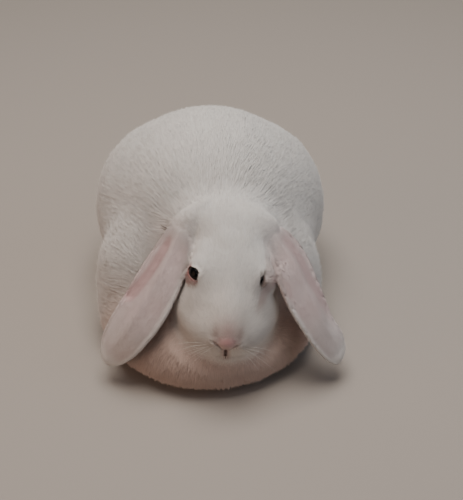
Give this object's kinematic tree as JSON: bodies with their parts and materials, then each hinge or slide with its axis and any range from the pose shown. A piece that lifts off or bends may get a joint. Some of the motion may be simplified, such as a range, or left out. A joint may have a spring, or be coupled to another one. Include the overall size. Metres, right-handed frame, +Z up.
{
  "type": "lop rabbit",
  "caption": "Life-size still model of a white lop-eared rabbit crouching at rest, ears hanging beside its cheeks, for display on a floor, shelf or table.",
  "frame": {"origin": "on the floor, under the middle of the animal's box", "axes": "+X to the animal's own left, -Y the way it faces, +Z up"},
  "size_m": [0.2198, 0.2802, 0.17],
  "materials": {
    "coat": "soft short plush white fur, matt",
    "ear": "thin skin, pink through very short white fur, matt",
    "nose": "bare pink skin, slightly damp",
    "eye": "dark brown iris and black pupil under a clear wet cornea",
    "claw": "pale horn, satin"
  },
  "bodies": {
    "root": {"trunk": "coat", "neck": "coat", "head": "coat", "tail": "coat", "haunch_left": "coat", "haunch_right": "coat", "shoulder_left": "coat", "shoulder_right": "coat", "hind_foot_left": "coat", "hind_foot_right": "coat", "fore_paw_left": "coat", "fore_paw_right": "coat", "ear_left": "ear", "ear_right": "ear", "eye_left": "eye", "eye_right": "eye", "nose": "nose"}
  },
  "joints": []
}
